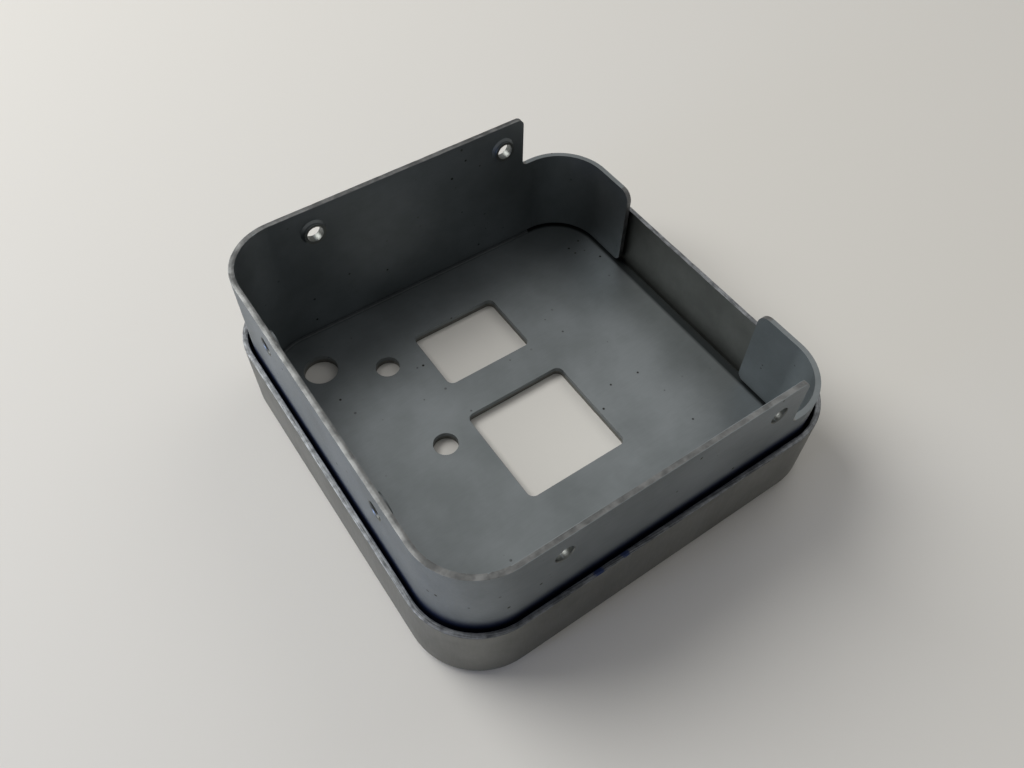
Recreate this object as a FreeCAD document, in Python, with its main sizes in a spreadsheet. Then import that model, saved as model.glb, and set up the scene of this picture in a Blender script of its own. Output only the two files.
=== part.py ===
import FreeCAD, Part
import math
import os

import Sketcher

# A sheet metal chassis: a pressed steel box, open on one side, standing in a shallow pressed tray.
# Axes: +X towards the open side, +Y towards the back wall, +Z up.
# The origin is on the surface that the tray stands on, under the middle of the chassis.

vec = FreeCAD.Vector
doc = FreeCAD.newDocument("sheet_metal_chassis")

# Driving sizes, in millimetres

sizes = doc.addObject("Spreadsheet::Sheet", "Sizes")

size_table = [
    # the pressed chassis
    ("sheet_gauge", 1.0, "thickness of the chassis sheet"),
    ("chassis_length", 80.0, "outside, along X, left wall to corner flaps"),
    ("chassis_width", 79.0, "outside, along Y, front wall to back wall"),
    ("corner_radius", 11.2, "outside radius of the four upright corners"),
    ("floor_bend", 0.6, "inside radius between floor and walls"),
    ("wall_height", 32.4, "top edge of the walls above the chassis underside"),
    ("flap_height", 20.7, "top edge of the corner flaps above the chassis underside"),
    ("step_setback", 13.8, "from the flaps' outer face back to the step in the front and back walls"),
    ("step_tip_radius", 1.5, "rounded tip at the top of the step"),
    ("step_foot_radius", 1.2, "fillet at the foot of the step"),
    ("relief_setback", 12.0, "from the flaps' outer face back to where they come free of the floor"),
    ("relief_height", 0.6, "gap between the floor and the lower edge of a flap"),
    ("side_opening", 38.2, "clear width between the two flap ends"),
    ("flap_tip_radius", 2.4, "upper corner of a flap end"),
    ("flap_heel_radius", 1.6, "lower corner of a flap end"),
    ("sill_reach", 0.3, "how far the floor runs out past the outer face of the flaps"),
    # cut-outs through both floors
    ("small_window_x", 19.4, "small window along X"),
    ("small_window_y", 14.7, "small window along Y"),
    ("small_window_back", 18.7, "middle of the small window, behind the centre"),
    ("large_window_x", 22.1, "large window along X"),
    ("large_window_y", 21.7, "large window along Y"),
    ("large_window_front", 7.6, "middle of the large window, in front of the centre"),
    ("window_radius", 1.4, "corner radius of both windows"),
    ("corner_hole", 6.9, "diameter of the hole in the back left corner"),
    ("corner_hole_side", 10.8, "corner hole, in from the outer face of the left wall"),
    ("corner_hole_end", 10.4, "corner hole, in from the outer face of the back wall"),
    ("floor_hole", 4.9, "diameter of the two other floor holes"),
    ("floor_hole_left", 17.7, "both floor holes, left of the centre"),
    ("back_floor_hole", 22.3, "the one beside the small window, behind the centre"),
    ("middle_floor_hole", 0.2, "the one beside the large window, behind the centre"),
    # drawn holes in the walls, for M4 thread-forming screws
    ("bore", 3.3, "core hole of an M4 thread"),
    ("collar_wall", 0.55, "wall left round the bore after drawing"),
    ("collar_height", 0.9, "how far a collar stands off the inner face"),
    ("collar_root", 0.4, "flare between collar and wall"),
    ("mouth", 0.15, "chamfer where a bore opens on the outer face"),
    ("hole_drop", 5.3, "hole axes below the top edge of the walls"),
    ("end_hole_spacing", 42.2, "between the two holes of the front or back wall"),
    ("side_hole_spacing", 36.8, "between the two holes of the left wall"),
    # the tray
    ("tray_gauge", 1.0, "thickness of the tray sheet"),
    ("side_gap", 0.66, "gap between the chassis walls and the tray rim"),
    ("rim_height", 16.1, "top of the tray rim above the surface it stands on"),
    ("tray_bend", 1.0, "inside radius between tray floor and rim"),
    # making
    ("cut_past", 2.0, "how far a cut runs past the sheet that it cuts"),
]

for row, (alias, value, note) in enumerate(size_table, start=1):
    sizes.set(f"A{row}", note)
    sizes.set(f"B{row}", str(value))
    sizes.setAlias(f"B{row}", alias)
doc.recompute()


class Size:
    """A length, with the formula on the sheet's cells that drives it."""

    def __init__(self, number, formula):
        self.number = number
        self.formula = formula

    def __add__(self, other):
        return Size(self.number + number_of(other), f"({self.formula} + {formula_of(other)})")

    def __sub__(self, other):
        return Size(self.number - number_of(other), f"({self.formula} - {formula_of(other)})")

    def __neg__(self):
        return Size(-self.number, f"(0 - {self.formula})")

    def __mul__(self, factor):
        return Size(self.number * factor, f"({self.formula} * {factor})")

    def __truediv__(self, divisor):
        return Size(self.number / divisor, f"({self.formula} / {divisor})")


def number_of(length):
    return length.number if isinstance(length, Size) else float(length)


def formula_of(length):
    return length.formula if isinstance(length, Size) else str(length)


def size(alias):
    return Size(float(sizes.get(alias)), f"Sizes.{alias}")


gauge = size("sheet_gauge")
half_length = size("chassis_length") / 2
half_width = size("chassis_width") / 2
corner = size("corner_radius")
wall_height = size("wall_height")
flap_height = size("flap_height")
half_opening = size("side_opening") / 2
tray_gauge = size("tray_gauge")
cut_past = size("cut_past")


# Sketches: outlines of level and upright lines, whose corners may be rounded

def sign(value):
    return (value > 1e-9) - (value < -1e-9)


def drive(item, name, length):
    """Bind a property of a feature to its formula."""
    item.setExpression(name, formula_of(length))


def place_line(sketch, line, level, where):
    """Hold a level or upright line at its distance from the origin."""
    sketch.addConstraint(Sketcher.Constraint("Horizontal" if level else "Vertical", line))
    if not isinstance(where, Size):
        axis = -1 if level else -2
        sketch.addConstraint(Sketcher.Constraint("PointOnObject", line, 1, axis))
        return
    kind = "DistanceY" if level else "DistanceX"
    index = sketch.addConstraint(Sketcher.Constraint(kind, -1, 1, line, 1, where.number))
    drive(sketch, f"Constraints[{index}]", where)


def corner_arc(sketch, point, step_in, step_out, radius):
    """Round a corner. Returns the arc with its ends in the outline's order."""
    reach = number_of(radius)
    centre = vec(point[0] + (step_out[0] - step_in[0]) * reach, point[1] + (step_out[1] - step_in[1]) * reach)
    turns_left = step_in[0] * step_out[1] - step_in[1] * step_out[0] > 0
    from_centre = (-step_out[0], -step_out[1]) if turns_left else step_in
    begin = math.atan2(from_centre[1], from_centre[0])
    circle = Part.Circle(centre, vec(0, 0, 1), reach)
    arc = sketch.addGeometry(Part.ArcOfCircle(circle, begin, begin + math.pi / 2))
    index = sketch.addConstraint(Sketcher.Constraint("Radius", arc, reach))
    drive(sketch, f"Constraints[{index}]", radius)
    return (arc, 1, 2) if turns_left else (arc, 2, 1)


def add_outline(sketch, corners):
    """Closed outline through corners (x, y, radius), where a radius of None is a sharp corner."""
    count = len(corners)
    points = [(number_of(x), number_of(y)) for x, y, radius in corners]
    steps = []
    for index in range(count):
        here = points[index]
        there = points[(index + 1) % count]
        steps.append((sign(there[0] - here[0]), sign(there[1] - here[1])))
    reaches = [number_of(radius) if radius else 0.0 for x, y, radius in corners]

    lines = []
    for index in range(count):
        following = (index + 1) % count
        step_x, step_y = steps[index]
        begin = vec(points[index][0] + step_x * reaches[index], points[index][1] + step_y * reaches[index])
        end = vec(points[following][0] - step_x * reaches[following],
                  points[following][1] - step_y * reaches[following])
        lines.append(sketch.addGeometry(Part.LineSegment(begin, end)))

    for index in range(count):
        before = lines[index - 1]
        after = lines[index]
        x, y, radius = corners[index]
        if radius is None:
            sketch.addConstraint(Sketcher.Constraint("Coincident", before, 2, after, 1))
        else:
            arc, first, last = corner_arc(sketch, points[index], steps[index - 1], steps[index], radius)
            sketch.addConstraint(Sketcher.Constraint("Tangent", before, 2, arc, first))
            sketch.addConstraint(Sketcher.Constraint("Tangent", arc, last, after, 1))
        level = steps[index][1] == 0
        place_line(sketch, after, level, y if level else x)


def add_rectangle(sketch, half_x, half_y, radius, middle_y=None):
    """Rectangle with four equal rounded corners, on the middle of the sketch or at middle_y."""
    top = half_y if middle_y is None else middle_y + half_y
    bottom = -half_y if middle_y is None else middle_y - half_y
    add_outline(sketch, [(half_x, bottom, radius), (half_x, top, radius),
                         (-half_x, top, radius), (-half_x, bottom, radius)])


def add_circle(sketch, x, y, diameter):
    centre = vec(x.number, y.number)
    circle = sketch.addGeometry(Part.Circle(centre, vec(0, 0, 1), diameter.number / 2))
    for kind, length in (("DistanceX", x), ("DistanceY", y)):
        index = sketch.addConstraint(Sketcher.Constraint(kind, -1, 1, circle, 3, length.number))
        drive(sketch, f"Constraints[{index}]", length)
    index = sketch.addConstraint(Sketcher.Constraint("Diameter", circle, diameter.number))
    drive(sketch, f"Constraints[{index}]", diameter)


# Bodies and features

def new_body(label):
    body = doc.addObject("PartDesign::Body", label)
    body.Label = label
    return body


def new_sketch(body, name, plane, height=None):
    """Sketch on one of the body's own origin planes, lifted off it by height."""
    support = [item for item in body.Origin.OriginFeatures if item.Role == plane][0]
    sketch = body.newObject("Sketcher::SketchObject", name)
    sketch.AttachmentSupport = [(support, "")]
    sketch.MapMode = "FlatFace"
    if height is not None:
        sketch.AttachmentOffset = FreeCAD.Placement(vec(0, 0, height.number), FreeCAD.Rotation())
        drive(sketch, "AttachmentOffset.Base.z", height)
    return sketch


def add_pad(body, sketch, name, height):
    pad = body.newObject("PartDesign::Pad", name)
    pad.Profile = sketch
    drive(pad, "Length", height)
    doc.recompute()
    return pad


def add_cut(body, sketch, name, both_ways=False, reverse=False):
    """Pocket through everything on one side of the sketch, or on both."""
    before = body.Shape.Volume
    pocket = body.newObject("PartDesign::Pocket", name)
    pocket.Profile = sketch
    pocket.Type = "ThroughAll"
    pocket.Reversed = reverse
    if both_ways:
        pocket.SideType = "Symmetric"
    doc.recompute()
    if not body.Shape.Volume < before:
        raise RuntimeError(f"{name} removes nothing")
    return pocket


def add_bend(body, name, height, radius):
    """Fillet the edges of the body's tip that lie level at this height."""
    base = body.Tip
    edges = []
    for index, edge in enumerate(base.Shape.Edges, start=1):
        box = edge.BoundBox
        if abs(box.ZMin - number_of(height)) < 1e-6 and abs(box.ZMax - number_of(height)) < 1e-6:
            edges.append(f"Edge{index}")
    fillet = body.newObject("PartDesign::Fillet", name)
    fillet.Base = (base, edges)
    drive(fillet, "Radius", radius)
    doc.recompute()
    return fillet


def add_pan(body, half_x, half_y, radius, height, sheet, bend):
    """Pressed pan: rounded upright corners, a floor and walls of one thickness, and a bend between them."""
    outside = new_sketch(body, f"{body.Label}_outside", "XY_Plane")
    add_rectangle(outside, half_x, half_y, radius)
    add_pad(body, outside, f"{body.Label}_block", height)
    add_bend(body, f"{body.Label}_outer_bend", 0, bend + sheet)

    inside = new_sketch(body, f"{body.Label}_inside", "XY_Plane", sheet)
    add_rectangle(inside, half_x - sheet, half_y - sheet, radius - sheet)
    add_cut(body, inside, f"{body.Label}_hollow", reverse=True)
    add_bend(body, f"{body.Label}_inner_bend", sheet, bend)


def add_floor_cutouts(body):
    """The two windows and three round holes, at the same places in both floors."""
    sketch = new_sketch(body, f"{body.Label}_cutouts", "XY_Plane")
    radius = size("window_radius")
    add_rectangle(sketch, size("small_window_x") / 2, size("small_window_y") / 2, radius,
                  size("small_window_back"))
    add_rectangle(sketch, size("large_window_x") / 2, size("large_window_y") / 2, radius,
                  -size("large_window_front"))
    add_circle(sketch, size("corner_hole_side") - half_length, half_width - size("corner_hole_end"),
               size("corner_hole"))
    add_circle(sketch, -size("floor_hole_left"), size("back_floor_hole"), size("floor_hole"))
    add_circle(sketch, -size("floor_hole_left"), size("middle_floor_hole"), size("floor_hole"))
    add_cut(body, sketch, f"{body.Label}_openings", both_ways=True)


def add_wall_hole(body, name, x, y, turn):
    """Drawn hole: a collar on the inner face, and a bore right through it and the wall.

    The hole's own frame has its origin on the wall's outer face and its y axis pointing out.
    """
    inner_face = -gauge
    collar_end = -(gauge + size("collar_height"))
    bore_radius = size("bore") / 2
    collar_radius = bore_radius + size("collar_wall")
    height = wall_height - size("hole_drop")

    collar = new_sketch(body, f"{name}_collar_profile", "XY_Plane")
    turn_into_hole_frame(collar, x, y, height, turn)
    add_outline(collar, [(0, inner_face / 2, None), (0, collar_end, None),
                         (collar_radius, collar_end, None), (collar_radius, inner_face / 2, None)])
    add_revolved(body, collar, "PartDesign::Revolution", f"{name}_collar")

    bore = new_sketch(body, f"{name}_bore_profile", "XY_Plane")
    turn_into_hole_frame(bore, x, y, height, turn)
    add_outline(bore, [(0, cut_past, None), (0, collar_end - cut_past, None),
                       (bore_radius, collar_end - cut_past, None), (bore_radius, cut_past, None)])
    add_revolved(body, bore, "PartDesign::Groove", f"{name}_bore")


def add_hole_chamfers(body, name, radius, depth, reach):
    """Chamfer each hole's circular edge of this radius that lies at this depth below the walls' outer faces."""
    base = body.Tip
    edges = []
    for index, edge in enumerate(base.Shape.Edges, start=1):
        if isinstance(edge.Curve, Part.Circle) and abs(edge.Curve.Radius - radius.number) < 1e-6:
            x, y, z = edge.Curve.Center
            on_side = abs(abs(x) - (half_length - depth).number) < 1e-6
            on_end = abs(abs(y) - (half_width - depth).number) < 1e-6
            if on_side or on_end:
                edges.append(f"Edge{index}")
    chamfer = body.newObject("PartDesign::Chamfer", name)
    chamfer.Base = (base, edges)
    drive(chamfer, "Size", reach)
    doc.recompute()


def turn_into_hole_frame(sketch, x, y, height, turn):
    place = vec(x.number, y.number, height.number)
    sketch.AttachmentOffset = FreeCAD.Placement(place, FreeCAD.Rotation(vec(0, 0, 1), turn))
    for letter, length in (("x", x), ("y", y), ("z", height)):
        drive(sketch, f"AttachmentOffset.Base.{letter}", length)


def add_revolved(body, sketch, kind, name):
    """Turn a profile once round the sketch's upright axis, adding to the body or cutting it."""
    before = body.Shape.Volume
    feature = body.newObject(kind, name)
    feature.Profile = sketch
    feature.ReferenceAxis = (sketch, ["V_Axis"])
    feature.Angle = 360
    doc.recompute()
    change = body.Shape.Volume - before
    if (change > 0) != (kind == "PartDesign::Revolution"):
        raise RuntimeError(f"{name} does nothing")


# The chassis: a pressed pan, trimmed to its stepped walls and free-ended corner flaps

chassis = new_body("inner_chassis")
add_pan(chassis, half_length, half_width, corner, wall_height, gauge, size("floor_bend"))


def trim_step(body):
    """Drop the front and back walls from full height to the height of the flaps."""
    step = half_length - size("step_setback")
    tip = size("step_tip_radius")
    sketch = new_sketch(body, "step_profile", "XZ_Plane")
    add_outline(sketch, [(step, flap_height, size("step_foot_radius")),
                         (half_length + cut_past, flap_height, None),
                         (half_length + cut_past, wall_height + cut_past, None),
                         (step - tip - cut_past, wall_height + cut_past, None),
                         (step - tip - cut_past, wall_height, None),
                         (step, wall_height, tip)])
    add_cut(body, sketch, "step", both_ways=True)


def free_flaps(body):
    """Cut the flaps free of the floor with a narrow slot, and give the floor its square edge back."""
    relief = half_length - size("relief_setback")
    slot_top = gauge + size("relief_height")
    slot = new_sketch(body, "relief_profile", "XZ_Plane")
    add_outline(slot, [(relief, gauge, None), (half_length + cut_past, gauge, None),
                       (half_length + cut_past, slot_top, None), (relief, slot_top, None)])
    add_cut(body, slot, "relief", both_ways=True)

    reach = half_length + size("sill_reach")
    apron = new_sketch(body, "apron_outline", "XY_Plane")
    add_outline(apron, [(relief, -half_width, None), (reach, -half_width, corner),
                        (reach, half_width, corner), (relief, half_width, None)])
    add_pad(body, apron, "apron", gauge)


def open_side(body):
    """Cut away the right wall between the two flaps, with rounded corners on the flap ends."""
    tip = size("flap_tip_radius")
    heel = size("flap_heel_radius")
    slot_top = gauge + size("relief_height")
    foot = half_opening + heel + cut_past
    mouth = half_opening + tip + cut_past
    sketch = new_sketch(body, "side_opening_profile", "YZ_Plane")
    add_outline(sketch, [(-foot, gauge, None), (foot, gauge, None), (foot, slot_top, None),
                         (half_opening, slot_top, heel), (half_opening, flap_height, tip),
                         (mouth, flap_height, None), (mouth, flap_height + cut_past, None),
                         (-mouth, flap_height + cut_past, None), (-mouth, flap_height, None),
                         (-half_opening, flap_height, tip), (-half_opening, slot_top, heel),
                         (-foot, slot_top, None)])
    add_cut(body, sketch, "side_opening", reverse=True)


trim_step(chassis)
free_flaps(chassis)
open_side(chassis)
add_floor_cutouts(chassis)

end_spacing = size("end_hole_spacing") / 2
side_spacing = size("side_hole_spacing") / 2
add_wall_hole(chassis, "back_left_hole", -end_spacing, half_width, 0)
add_wall_hole(chassis, "back_right_hole", end_spacing, half_width, 0)
add_wall_hole(chassis, "front_left_hole", -end_spacing, -half_width, 180)
add_wall_hole(chassis, "front_right_hole", end_spacing, -half_width, 180)
add_wall_hole(chassis, "side_back_hole", -half_length, side_spacing, 90)
add_wall_hole(chassis, "side_front_hole", -half_length, -side_spacing, 90)
add_hole_chamfers(chassis, "collar_flare", size("bore") / 2 + size("collar_wall"), gauge, size("collar_root"))
add_hole_chamfers(chassis, "bore_mouth", size("bore") / 2, 0, size("mouth"))

drive(chassis, "Placement.Base.z", tray_gauge)

# The tray: a shallow pan that the chassis stands in, with the same cut-outs in its floor

tray = new_body("outer_tray")
tray_offset = size("side_gap") + tray_gauge
add_pan(tray, half_length + tray_offset, half_width + tray_offset, corner + tray_offset,
        size("rim_height"), tray_gauge, size("tray_bend"))
add_floor_cutouts(tray)

doc.recompute()

# Check everything, then write one STEP file for each piece

for item in doc.Objects:
    if "Invalid" in item.State or "Error" in item.State:
        raise RuntimeError(f"{item.Label} failed: {item.State}")

os.makedirs("parts", exist_ok=True)
for body in (chassis, tray):
    shape = body.Shape
    if shape.isNull() or not shape.isValid() or len(shape.Solids) != 1:
        raise RuntimeError(f"{body.Label} is not one valid solid")
    shape.exportStep(f"parts/{body.Label}.step")
    box = shape.optimalBoundingBox(False)
    print(body.Label, "volume", round(shape.Volume, 2), "mm3, faces", len(shape.Faces),
          "size", round(box.XLength, 2), round(box.YLength, 2), round(box.ZLength, 2),
          "from", round(box.XMin, 2), round(box.YMin, 2), round(box.ZMin, 2))
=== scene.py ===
import math

import bmesh
import bpy
from mathutils import Euler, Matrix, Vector, noise


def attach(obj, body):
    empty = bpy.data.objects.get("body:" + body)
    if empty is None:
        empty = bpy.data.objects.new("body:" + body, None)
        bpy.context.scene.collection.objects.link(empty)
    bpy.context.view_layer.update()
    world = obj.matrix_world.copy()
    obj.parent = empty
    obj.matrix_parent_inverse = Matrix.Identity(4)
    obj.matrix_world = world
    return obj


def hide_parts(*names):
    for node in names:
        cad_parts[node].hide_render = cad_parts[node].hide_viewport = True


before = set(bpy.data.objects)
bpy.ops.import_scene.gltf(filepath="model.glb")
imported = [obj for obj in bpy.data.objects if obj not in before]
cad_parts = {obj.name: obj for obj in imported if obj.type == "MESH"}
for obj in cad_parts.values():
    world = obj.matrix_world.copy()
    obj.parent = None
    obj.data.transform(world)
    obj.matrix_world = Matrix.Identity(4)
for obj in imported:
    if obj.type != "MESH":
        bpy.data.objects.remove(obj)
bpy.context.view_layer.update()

mm = 0.001
print("frame loaded:", ", ".join(sorted(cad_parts)))


# Colours and nodes

def hexColour(text):
    # sRGB hex to the linear colour that the shaders take
    parts = [int(text[place:place + 2], 16) / 255 for place in (1, 3, 5)]
    return [part / 12.92 if part <= 0.04045 else ((part + 0.055) / 1.055) ** 2.4 for part in parts] + [1.0]


def perMm(size):
    return 1 / (size * mm)


def addNode(tree, kind, inputs=None, **settings):
    node = tree.nodes.new(kind)
    for name, value in settings.items():
        setattr(node, name, value)
    for name, value in (inputs or {}).items():
        if isinstance(value, bpy.types.NodeSocket):
            tree.links.new(value, node.inputs[name])
        else:
            node.inputs[name].default_value = value
    return node


def newMaterial(name):
    material = bpy.data.materials.new(name)
    material.use_nodes = True
    material.node_tree.nodes.clear()
    return material, material.node_tree


def finishMetal(tree, colour, roughness, height, depth, strength, metallic=1.0):
    # metal shader with its colour, roughness and bump, linked to the output
    bump = addNode(tree, "ShaderNodeBump", {"Height": height, "Distance": depth, "Strength": strength})
    shader = addNode(tree, "ShaderNodeBsdfPrincipled", {"Base Color": colour, "Roughness": roughness,
                                                        "Metallic": metallic,
                                                        "Normal": bump.outputs["Normal"]})
    addNode(tree, "ShaderNodeOutputMaterial", {"Surface": shader.outputs["BSDF"]})


def outlineDistance(tree, position, pan):
    # how far a point lies inside the outline of a pan, in metres, for bands that follow its rim
    flat = addNode(tree, "ShaderNodeVectorMath", {0: position}, operation="ABSOLUTE")
    inner = [(pan["halfX"] - pan["corner"]) * mm, (pan["halfY"] - pan["corner"]) * mm, 1.0]
    past = addNode(tree, "ShaderNodeVectorMath", {0: flat.outputs[0], 1: inner}, operation="SUBTRACT")
    kept = addNode(tree, "ShaderNodeVectorMath", {0: past.outputs[0], 1: (0, 0, 0)}, operation="MAXIMUM")
    reach = addNode(tree, "ShaderNodeVectorMath", {0: kept.outputs[0]}, operation="LENGTH")
    inside = addNode(tree, "ShaderNodeMath", {0: pan["corner"] * mm, 1: reach.outputs["Value"]},
                     operation="SUBTRACT")
    return inside.outputs[0]


# Materials

chassisPan = {"halfX": 40.0, "halfY": 39.5, "corner": 11.2, "underside": 1.0}
trayReach = 0.66 + 1.0  # the side gap and the tray's own sheet
trayPan = {side: chassisPan[side] + trayReach for side in ("halfX", "halfY", "corner")}
trayPan["underside"] = 0.0

zincLook = {
    "dark": "#767c7f", "light": "#878d91", "speck": "#2c2c29", "bendShade": "#202426",
    "blotch": 17.0, "grainAcross": 0.35, "grainStretch": 0.12, "frost": 0.16,
    "cloudRange": (0.35, 0.65), "grainRange": (0.3, 0.7), "roughness": (0.48, 0.54),
    "speckSpacing": 3.0, "speckRadius": (0.06, 0.11), "speckClouds": (0.5, 0.56),
    # the next colour, reach, height and share make painted shade in the bend between the floor and the walls
    "bendShadeReach": (1.2, 1.9), "bendShadeHeight": (2.2, 2.8), "bendShadeShare": 0.85,
    # the navy colour on this line is painted shade on the outer face, in the gap inside the tray and just
    # above its rim
    "dyeAndShade": "#18264f", "gapShadeHeight": (16.4, 19.2), "gapShadeFoot": 6.0, "dyeAndShadeShare": 0.85, "gapShadeDepth": 0.3,
    "bumpDepth": 0.004, "bumpStrength": 0.5,
}


def zincPlatedSteel(pan):
    # Cold-rolled steel under matt zinc: a soft grey sheen with cloudy patches, faint rolling lines and dirt
    # specks, painted shade in the bend round the floor, and painted navy shade on the outer face, in the gap
    # where the tray stands round it and just above its rim
    look = zincLook
    material, tree = newMaterial("zincPlatedSteel")
    position = addNode(tree, "ShaderNodeTexCoord").outputs["Object"]
    clouds = addNode(tree, "ShaderNodeTexNoise", {"Vector": position, "Scale": perMm(look["blotch"]),
                                                  "Detail": 4.0, "Roughness": 0.55})
    lengthwise = addNode(tree, "ShaderNodeMapping", {"Vector": position,
                                                     "Scale": (look["grainStretch"], 1.0, 1.0)})
    rolling = addNode(tree, "ShaderNodeTexNoise", {"Vector": lengthwise.outputs[0],
                                                   "Scale": perMm(look["grainAcross"]), "Detail": 2.0})
    frost = addNode(tree, "ShaderNodeTexNoise", {"Vector": position, "Scale": perMm(look["frost"]),
                                                 "Detail": 1.0})
    grit = addNode(tree, "ShaderNodeTexVoronoi", {"Vector": position, "Scale": perMm(look["speckSpacing"])})
    inGrit = addNode(tree, "ShaderNodeMapRange", {"Value": grit.outputs["Distance"],
                                                  "From Min": look["speckRadius"][0],
                                                  "From Max": look["speckRadius"][1],
                                                  "To Min": 1.0, "To Max": 0.0})
    scattered = addNode(tree, "ShaderNodeMapRange", {"Value": clouds.outputs["Fac"],
                                                     "From Min": look["speckClouds"][0],
                                                     "From Max": look["speckClouds"][1]})
    speck = addNode(tree, "ShaderNodeMath", {0: inGrit.outputs[0], 1: scattered.outputs[0]},
                    operation="MULTIPLY")
    cloudy = addNode(tree, "ShaderNodeMapRange", {"Value": clouds.outputs["Fac"],
                                                  "From Min": look["cloudRange"][0],
                                                  "From Max": look["cloudRange"][1]})
    ground = addNode(tree, "ShaderNodeMix", {0: cloudy.outputs[0], 6: hexColour(look["dark"]),
                                             7: hexColour(look["light"])}, data_type="RGBA")
    speckled = addNode(tree, "ShaderNodeMix", {0: speck.outputs[0], 6: ground.outputs[2],
                                               7: hexColour(look["speck"])}, data_type="RGBA")
    inside = outlineDistance(tree, position, pan)
    height = addNode(tree, "ShaderNodeSeparateXYZ", {0: position}).outputs["Z"]
    # painted shade: darker within the bend round the floor, close to both the walls and the floor
    nearWall = addNode(tree, "ShaderNodeMapRange", {"Value": inside, "From Min": look["bendShadeReach"][0] * mm,
                                                    "From Max": look["bendShadeReach"][1] * mm,
                                                    "To Min": look["bendShadeShare"], "To Max": 0.0})
    nearFloor = addNode(tree, "ShaderNodeMapRange", {"Value": height, "From Min": look["bendShadeHeight"][0] * mm,
                                                     "From Max": look["bendShadeHeight"][1] * mm,
                                                     "To Min": 1.0, "To Max": 0.0})
    bendShade = addNode(tree, "ShaderNodeMath", {0: nearWall.outputs[0], 1: nearFloor.outputs[0]},
                    operation="MULTIPLY")
    shadedInBend = addNode(tree, "ShaderNodeMix", {0: bendShade.outputs[0], 6: speckled.outputs[2],
                                             7: hexColour(look["bendShade"])}, data_type="RGBA")
    # painted shade: navy on the outer face, full from 6 mm up to just above the tray's rim and fading out a
    # few millimetres above it
    outerFace = addNode(tree, "ShaderNodeMath", {0: inside, 1: look["gapShadeDepth"] * mm},
                        operation="LESS_THAN")
    nearRim = addNode(tree, "ShaderNodeMapRange", {"Value": height, "From Min": look["gapShadeHeight"][0] * mm,
                                                   "From Max": look["gapShadeHeight"][1] * mm,
                                                   "To Min": look["dyeAndShadeShare"], "To Max": 0.0},
                      interpolation_type="SMOOTHSTEP")
    aboveFoot = addNode(tree, "ShaderNodeMath", {0: height, 1: look["gapShadeFoot"] * mm},
                        operation="GREATER_THAN")
    reached = addNode(tree, "ShaderNodeMath", {0: nearRim.outputs[0], 1: aboveFoot.outputs[0]},
                      operation="MULTIPLY")
    dyedAndShaded = addNode(tree, "ShaderNodeMath", {0: outerFace.outputs[0], 1: reached.outputs[0]},
                   operation="MULTIPLY")
    colour = addNode(tree, "ShaderNodeMix", {0: dyedAndShaded.outputs[0], 6: shadedInBend.outputs[2],
                                             7: hexColour(look["dyeAndShade"])}, data_type="RGBA")
    roughness = addNode(tree, "ShaderNodeMapRange", {"Value": rolling.outputs["Fac"],
                                                     "From Min": look["grainRange"][0],
                                                     "From Max": look["grainRange"][1],
                                                     "To Min": look["roughness"][0],
                                                     "To Max": look["roughness"][1]})
    grain = addNode(tree, "ShaderNodeMath", {0: rolling.outputs["Fac"], 1: frost.outputs["Fac"]},
                    operation="ADD")
    finishMetal(tree, colour.outputs[2], roughness.outputs[0], grain.outputs[0],
                look["bumpDepth"] * mm, look["bumpStrength"])
    return material


shearedLook = {
    "dark": "#5f6162", "light": "#7f8182", "patch": 2.6, "patchRange": (0.38, 0.62), "tear": 0.22,
    "tornFrom": (0.38, 0.5), "roughness": 0.45, "metallic": 0.85, "bumpDepth": 0.02, "bumpStrength": 0.8,
}


def shearedEdge(pan):
    # Sheared steel, bare and mottled: smooth along the outer side of the sheet and torn along the inner side
    look = shearedLook
    material, tree = newMaterial("shearedEdge")
    position = addNode(tree, "ShaderNodeTexCoord").outputs["Object"]
    inside = outlineDistance(tree, position, pan)
    patches = addNode(tree, "ShaderNodeTexNoise", {"Vector": position, "Scale": perMm(look["patch"]),
                                                   "Detail": 3.0, "Roughness": 0.6})
    tear = addNode(tree, "ShaderNodeTexNoise", {"Vector": position, "Scale": perMm(look["tear"]),
                                                "Detail": 2.0})
    torn = addNode(tree, "ShaderNodeMapRange", {"Value": inside, "From Min": look["tornFrom"][0] * mm,
                                                "From Max": look["tornFrom"][1] * mm})
    blend = addNode(tree, "ShaderNodeMapRange", {"Value": patches.outputs["Fac"],
                                                 "From Min": look["patchRange"][0],
                                                 "From Max": look["patchRange"][1]})
    colour = addNode(tree, "ShaderNodeMix", {0: blend.outputs[0], 6: hexColour(look["dark"]),
                                             7: hexColour(look["light"])}, data_type="RGBA")
    height = addNode(tree, "ShaderNodeMath", {0: tear.outputs["Fac"], 1: torn.outputs[0]},
                     operation="MULTIPLY")
    finishMetal(tree, colour.outputs[2], look["roughness"], height.outputs[0], look["bumpDepth"] * mm,
                look["bumpStrength"], look["metallic"])
    return material


boreLook = {"colour": "#757877", "score": 0.18, "roughness": 0.4, "bumpDepth": 0.004, "bumpStrength": 0.4}


def burnishedBore():
    # Steel burnished by the drawing punch: one even colour, finely scored
    look = boreLook
    material, tree = newMaterial("burnishedBore")
    position = addNode(tree, "ShaderNodeTexCoord").outputs["Object"]
    score = addNode(tree, "ShaderNodeTexNoise", {"Vector": position, "Scale": perMm(look["score"]),
                                                 "Detail": 1.0})
    finishMetal(tree, hexColour(look["colour"]), look["roughness"], score.outputs["Fac"],
                look["bumpDepth"] * mm, look["bumpStrength"])
    return material


trayLook = {
    "dark": "#6c6d6a", "light": "#7c7d7a", "blotch": 11.0, "drawLine": 0.45, "drawStretch": 0.15,
    "frost": 0.2, "cloudRange": (0.35, 0.65), "lineRange": (0.3, 0.7), "roughness": (0.44, 0.48),
    "bumpDepth": 0.003, "bumpStrength": 0.5,
}


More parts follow.
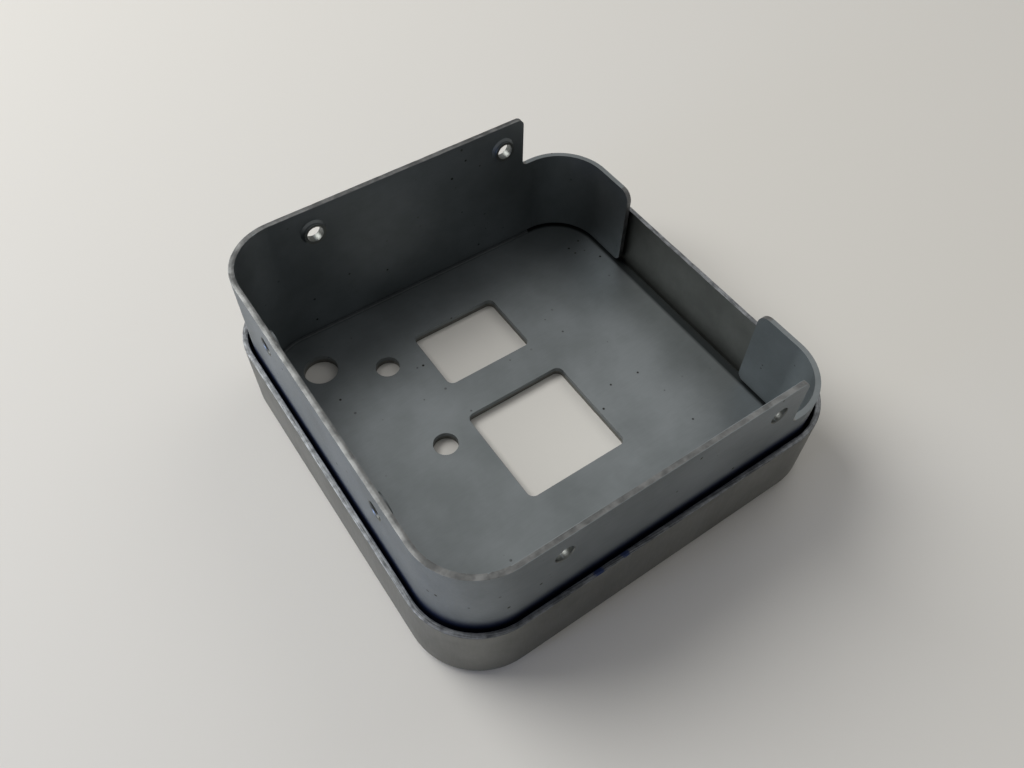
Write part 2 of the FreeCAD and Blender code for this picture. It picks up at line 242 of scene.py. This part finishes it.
def pressedTraySteel():
    # Bare pressed steel, oily and dull: darker than the zinc, with faint upright lines from the press tool
    look = trayLook
    material, tree = newMaterial("pressedTraySteel")
    position = addNode(tree, "ShaderNodeTexCoord").outputs["Object"]
    clouds = addNode(tree, "ShaderNodeTexNoise", {"Vector": position, "Scale": perMm(look["blotch"]),
                                                  "Detail": 4.0, "Roughness": 0.6})
    upright = addNode(tree, "ShaderNodeMapping", {"Vector": position,
                                                  "Scale": (1.0, 1.0, look["drawStretch"])})
    drawn = addNode(tree, "ShaderNodeTexNoise", {"Vector": upright.outputs[0],
                                                 "Scale": perMm(look["drawLine"]), "Detail": 2.0})
    frost = addNode(tree, "ShaderNodeTexNoise", {"Vector": position, "Scale": perMm(look["frost"]),
                                                 "Detail": 1.0})
    cloudy = addNode(tree, "ShaderNodeMapRange", {"Value": clouds.outputs["Fac"],
                                                  "From Min": look["cloudRange"][0],
                                                  "From Max": look["cloudRange"][1]})
    colour = addNode(tree, "ShaderNodeMix", {0: cloudy.outputs[0], 6: hexColour(look["dark"]),
                                             7: hexColour(look["light"])}, data_type="RGBA")
    roughness = addNode(tree, "ShaderNodeMapRange", {"Value": drawn.outputs["Fac"],
                                                     "From Min": look["lineRange"][0],
                                                     "From Max": look["lineRange"][1],
                                                     "To Min": look["roughness"][0],
                                                     "To Max": look["roughness"][1]})
    height = addNode(tree, "ShaderNodeMath", {0: drawn.outputs["Fac"], 1: frost.outputs["Fac"]},
                     operation="ADD")
    finishMetal(tree, colour.outputs[2], roughness.outputs[0], height.outputs[0],
                look["bumpDepth"] * mm, look["bumpStrength"])
    return material


rimLook = {
    "dark": "#4b4e52", "light": "#8e9297", "patch": 1.6, "line": 0.16, "lineStretch": 0.05,
    "mottleRange": (0.8, 1.25), "tear": 0.2, "tornFrom": (0.3, 0.4),
    # the navy colour here is real blue marking dye, in two smears on the rim
    "dyeAndShade": "#1d3468", "dyeAndShadeShare": 0.85, "dyeFade": (1.1, 1.5),
    "dyeSpots": [(-14.6, -40.7, 1.1), (-9.3, -40.5, 0.9)],  # x, y and radius of each smear
    "roughness": 0.4, "metallic": 0.5, "bumpDepth": 0.03, "bumpStrength": 0.9,
}


def tornRim(pan):
    # Trimmed rim of the tray: bare steel with fine lines along it, smooth along the outer side and torn along
    # the inner side, with two smears of blue marking dye
    look = rimLook
    material, tree = newMaterial("tornRim")
    position = addNode(tree, "ShaderNodeTexCoord").outputs["Object"]
    inside = outlineDistance(tree, position, pan)
    patches = addNode(tree, "ShaderNodeTexNoise", {"Vector": position, "Scale": perMm(look["patch"]),
                                                   "Detail": 3.0, "Roughness": 0.65})
    tear = addNode(tree, "ShaderNodeTexNoise", {"Vector": position, "Scale": perMm(look["tear"]),
                                                "Detail": 2.0})
    torn = addNode(tree, "ShaderNodeMapRange", {"Value": inside, "From Min": look["tornFrom"][0] * mm,
                                                "From Max": look["tornFrom"][1] * mm})
    across = addNode(tree, "ShaderNodeCombineXYZ", {"X": inside})
    along = addNode(tree, "ShaderNodeVectorMath", {0: position, 1: (look["lineStretch"],) * 3,
                                                   2: across.outputs[0]}, operation="MULTIPLY_ADD")
    lines = addNode(tree, "ShaderNodeTexNoise", {"Vector": along.outputs[0],
                                                 "Scale": perMm(look["line"]), "Detail": 2.0})
    mixed = addNode(tree, "ShaderNodeMath", {0: patches.outputs["Fac"], 1: lines.outputs["Fac"]},
                    operation="ADD")
    blend = addNode(tree, "ShaderNodeMapRange", {"Value": mixed.outputs[0],
                                                 "From Min": look["mottleRange"][0],
                                                 "From Max": look["mottleRange"][1]})
    ground = addNode(tree, "ShaderNodeMix", {0: blend.outputs[0], 6: hexColour(look["dark"]),
                                             7: hexColour(look["light"])}, data_type="RGBA")
    colour = ground.outputs[2]
    for x, y, radius in look["dyeSpots"]:
        centre = (x * mm, y * mm, pan["rimTop"] * mm)
        away = addNode(tree, "ShaderNodeVectorMath", {0: position, 1: centre}, operation="DISTANCE")
        ragged = addNode(tree, "ShaderNodeMath", {0: tear.outputs["Fac"], 1: radius * mm,
                                                  2: away.outputs["Value"]}, operation="MULTIPLY_ADD")
        spot = addNode(tree, "ShaderNodeMapRange", {"Value": ragged.outputs[0],
                                                    "From Min": radius * look["dyeFade"][0] * mm,
                                                    "From Max": radius * look["dyeFade"][1] * mm,
                                                    "To Min": look["dyeAndShadeShare"], "To Max": 0.0})
        dyedAndShaded = addNode(tree, "ShaderNodeMix", {0: spot.outputs[0], 6: colour, 7: hexColour(look["dyeAndShade"])},
                       data_type="RGBA")
        colour = dyedAndShaded.outputs[2]
    height = addNode(tree, "ShaderNodeMath", {0: tear.outputs["Fac"], 1: torn.outputs[0]},
                     operation="MULTIPLY")
    finishMetal(tree, colour, look["roughness"], height.outputs[0], look["bumpDepth"] * mm,
                look["bumpStrength"], look["metallic"])
    return material


# Pressed pieces: a merged copy of the solid, with its cut edges broken and roughened

meshMake = {"join": 0.001, "flatAngle": 0.5, "creaseAngle": 28, "bevelSteps": 2, "faceWeight": 100}
edgeBand = {
    "margin": 0.06,  # kept clear of the rolled faces on both sides of the thickness
    "aboveBend": 0.1, "floorDepth": 0.2, "belowTop": 0.5,
}


def mergedCopy(node):
    # the node's own surface as one joined mesh, with its flat faces made whole
    shape = bmesh.new()
    shape.from_mesh(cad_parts[node].data)
    shape.transform(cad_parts[node].matrix_world)
    bmesh.ops.remove_doubles(shape, verts=shape.verts, dist=meshMake["join"] * mm)
    bmesh.ops.dissolve_limit(shape, angle_limit=math.radians(meshMake["flatAngle"]), verts=shape.verts,
                             edges=shape.edges)
    return shape


def breakEdges(shape, sharpness, offset):
    sharp = [edge for edge in shape.edges
             if edge.is_manifold and edge.is_convex and edge.calc_face_angle() > math.radians(sharpness)]
    bmesh.ops.bevel(shape, geom=sharp, offset=offset * mm, offset_type="OFFSET",
                    segments=meshMake["bevelSteps"], profile=0.5, affect="EDGES", material=-1,
                    clamp_overlap=True)


def insideOutline(point, pan):
    pastX = max(abs(point.x) / mm - (pan["halfX"] - pan["corner"]), 0)
    pastY = max(abs(point.y) / mm - (pan["halfY"] - pan["corner"]), 0)
    return pan["corner"] - math.hypot(pastX, pastY)


def isCut(face, pan, gauge, bend):
    # true for a face whose middle lies in the thickness of the sheet, above the bend or on the free floor edge
    centre = face.calc_center_median()
    inside = insideOutline(centre, pan)
    height = centre.z / mm - pan["underside"]
    margin = edgeBand["margin"]
    if height > gauge + bend + edgeBand["aboveBend"]:
        return margin < inside < gauge - margin
    onFreeEdge = centre.x / mm > pan["freeX"] and inside < edgeBand["floorDepth"]
    return margin < height < gauge - margin and onFreeEdge


def shadedPiece(name, shape, materials):
    mesh = bpy.data.meshes.new(name)
    shape.to_mesh(mesh)
    shape.free()
    mesh.shade_smooth()
    mesh.set_sharp_from_angle(angle=math.radians(meshMake["creaseAngle"]))
    for material in materials:
        mesh.materials.append(material)
    piece = bpy.data.objects.new(name, mesh)
    bpy.context.scene.collection.objects.link(piece)
    flatten = piece.modifiers.new("flatten", "WEIGHTED_NORMAL")
    flatten.keep_sharp = True
    flatten.weight = meshMake["faceWeight"]
    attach(piece, "root")
    print(name, "made with", len(mesh.polygons), "faces")
    return piece


def slicedTop(shape, top, spacing):
    # slices the sheared top edge across at even steps, so that it can be roughened
    reach = 45  # half the span that is sliced
    steps = int(2 * reach / spacing)
    lowest = (top - edgeBand["belowTop"]) * mm
    for axis in (Vector((1, 0, 0)), Vector((0, 1, 0))):
        for step in range(1, steps):
            faces = [face for face in shape.faces if min(vert.co.z for vert in face.verts) > lowest]
            place = axis * (step * spacing - reach) * mm
            crossed = [face for face in faces
                       if min((vert.co - place).dot(axis) for vert in face.verts) < 0
                       < max((vert.co - place).dot(axis) for vert in face.verts)]
            edges = {edge for face in crossed for edge in face.edges}
            verts = {vert for face in crossed for vert in face.verts}
            bmesh.ops.bisect_plane(shape, geom=crossed + list(edges) + list(verts), dist=0.01 * mm,
                                   plane_co=place, plane_no=axis)


def tearTop(shape, top, make):
    # presses shallow flecks and nicks down into the top edge
    elsewhere = Vector((9, 4, 7))  # sets the nicks apart from the flecks in the same noise
    for vert in shape.verts:
        if vert.co.z < (top - edgeBand["belowTop"]) * mm:
            continue
        bite = noise.noise(vert.co * perMm(make["biteSize"]))
        nick = max(noise.noise(vert.co * perMm(make["nickSize"]) + elsewhere) - make["nickFrom"], 0)
        vert.co.z -= (abs(bite) * make["biteDepth"] + nick * make["nickDepth"]) * mm


chassisMake = {
    "gauge": 1.0, "bend": 0.6, "brokenEdge": 0.09, "sharpness": 40.0,
    "boreRadius": 1.65, "boreRim": 0.3, "boreHeight": 28.1, "endHoleX": 21.1, "sideHoleY": 18.4,
    "wallFrom": 36.0, "levelFace": 0.999,
    "freeX": 28.0, "wallTop": 33.4, "slice": 0.8,
    "biteSize": 0.9, "biteDepth": 0.06, "nickSize": 2.3, "nickFrom": 0.25, "nickDepth": 0.12,
}


def inBore(centre, make):
    # true inside or close round one of the six wall holes
    x, y, z = [value / mm for value in centre]
    reach = make["boreRadius"] + make["boreRim"]
    fromEndHole = math.hypot(abs(x) - make["endHoleX"], z - make["boreHeight"])
    fromSideHole = math.hypot(abs(y) - make["sideHoleY"], z - make["boreHeight"])
    inEndWall = abs(y) > make["wallFrom"] and fromEndHole < reach
    inSideWall = x < -make["wallFrom"] and fromSideHole < reach
    return inEndWall or inSideWall


def chassisShell():
    make = chassisMake
    pan = dict(chassisPan, freeX=make["freeX"])
    shape = mergedCopy("inner_chassis")
    breakEdges(shape, make["sharpness"], make["brokenEdge"])
    slicedTop(shape, make["wallTop"], make["slice"])
    tearTop(shape, make["wallTop"], make)
    for face in shape.faces:
        if inBore(face.calc_center_median(), make) and abs(face.normal.z) < make["levelFace"]:
            face.material_index = 2
        elif isCut(face, pan, make["gauge"], make["bend"]):
            face.material_index = 1
    piece = shadedPiece("chassisShell", shape, [zincPlatedSteel(pan), shearedEdge(pan), burnishedBore()])
    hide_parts("inner_chassis")


trayMake = {"gauge": 1.0, "bend": 1.0, "brokenEdge": 0.12, "sharpness": 40.0, "rimTop": 16.1, "slice": 0.6,
            "biteSize": 0.7, "biteDepth": 0.06, "nickSize": 2.1, "nickFrom": 0.25, "nickDepth": 0.15,
            "noFreeEdge": 99.0}


def trayShell():
    make = trayMake
    pan = dict(trayPan, freeX=make["noFreeEdge"], rimTop=make["rimTop"])
    shape = mergedCopy("outer_tray")
    breakEdges(shape, make["sharpness"], make["brokenEdge"])
    slicedTop(shape, make["rimTop"], make["slice"])
    tearTop(shape, make["rimTop"], make)
    for face in shape.faces:
        if isCut(face, pan, make["gauge"], make["bend"]):
            face.material_index = 1
    piece = shadedPiece("trayShell", shape, [pressedTraySteel(), tornRim(pan)])
    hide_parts("outer_tray")


chassisShell()
trayShell()

# Stage, light and camera

# the table lies a hair below the tray, so that their faces don't fight
stageLook = {"size": 3.0, "colour": "#d9d8d5", "roughness": 0.7, "drop": 0.02}
bpy.ops.mesh.primitive_plane_add(size=stageLook["size"], location=(0, 0, -stageLook["drop"] * mm))
table = bpy.context.object
table.name = "table"
material, tree = newMaterial("paleTable")  # a matt painted table top
cover = addNode(tree, "ShaderNodeBsdfPrincipled", {"Base Color": hexColour(stageLook["colour"]),
                                                   "Roughness": stageLook["roughness"]})
addNode(tree, "ShaderNodeOutputMaterial", {"Surface": cover.outputs["BSDF"]})
table.data.materials.append(material)

lamps = {
    "back": {"place": (-0.30, 0.45, 0.55), "size": 0.6, "power": 4.8, "colour": "#fffdf8"},
    "ceiling": {"place": (0.45, 0.15, 0.50), "size": 0.5, "power": 0.6, "colour": "#fffdf8"},
    "window": {"place": (-0.50, -0.02, 0.07), "size": 0.13, "power": 0.7, "colour": "#a9c2fa"},
}
for name, lamp in lamps.items():
    data = bpy.data.lights.new(name, "AREA")
    data.shape = "DISK"
    data.size = lamp["size"]
    data.energy = lamp["power"]
    data.color = hexColour(lamp["colour"])[:3]
    holder = bpy.data.objects.new(name, data)
    holder.location = lamp["place"]
    holder.rotation_euler = (-Vector(lamp["place"])).to_track_quat("-Z", "Y").to_euler()
    bpy.context.scene.collection.objects.link(holder)

roomLook = {"colour": "#aaa8a5", "strength": 0.7}
world = bpy.data.worlds.new("softRoom")
world.use_nodes = True
room = world.node_tree.nodes["Background"]
room.inputs["Color"].default_value = hexColour(roomLook["colour"])
room.inputs["Strength"].default_value = roomLook["strength"]
bpy.context.scene.world = world

cameraSet = {"place": (-0.05814, -0.07738, 0.14048), "turn": (36.098, -0.7767, -34.5124), "lens": 30.27,
             "sensor": 36.0, "nearest": 0.005}
cameraData = bpy.data.cameras.new("camera")
cameraData.lens = cameraSet["lens"]
cameraData.sensor_width = cameraSet["sensor"]
cameraData.clip_start = cameraSet["nearest"]
camera = bpy.data.objects.new("camera", cameraData)
camera.location = cameraSet["place"]
camera.rotation_euler = Euler([math.radians(turn) for turn in cameraSet["turn"]])
bpy.context.scene.collection.objects.link(camera)
bpy.context.scene.camera = camera
bpy.context.scene.view_settings.view_transform = "Standard"
print("stage, light and camera set")
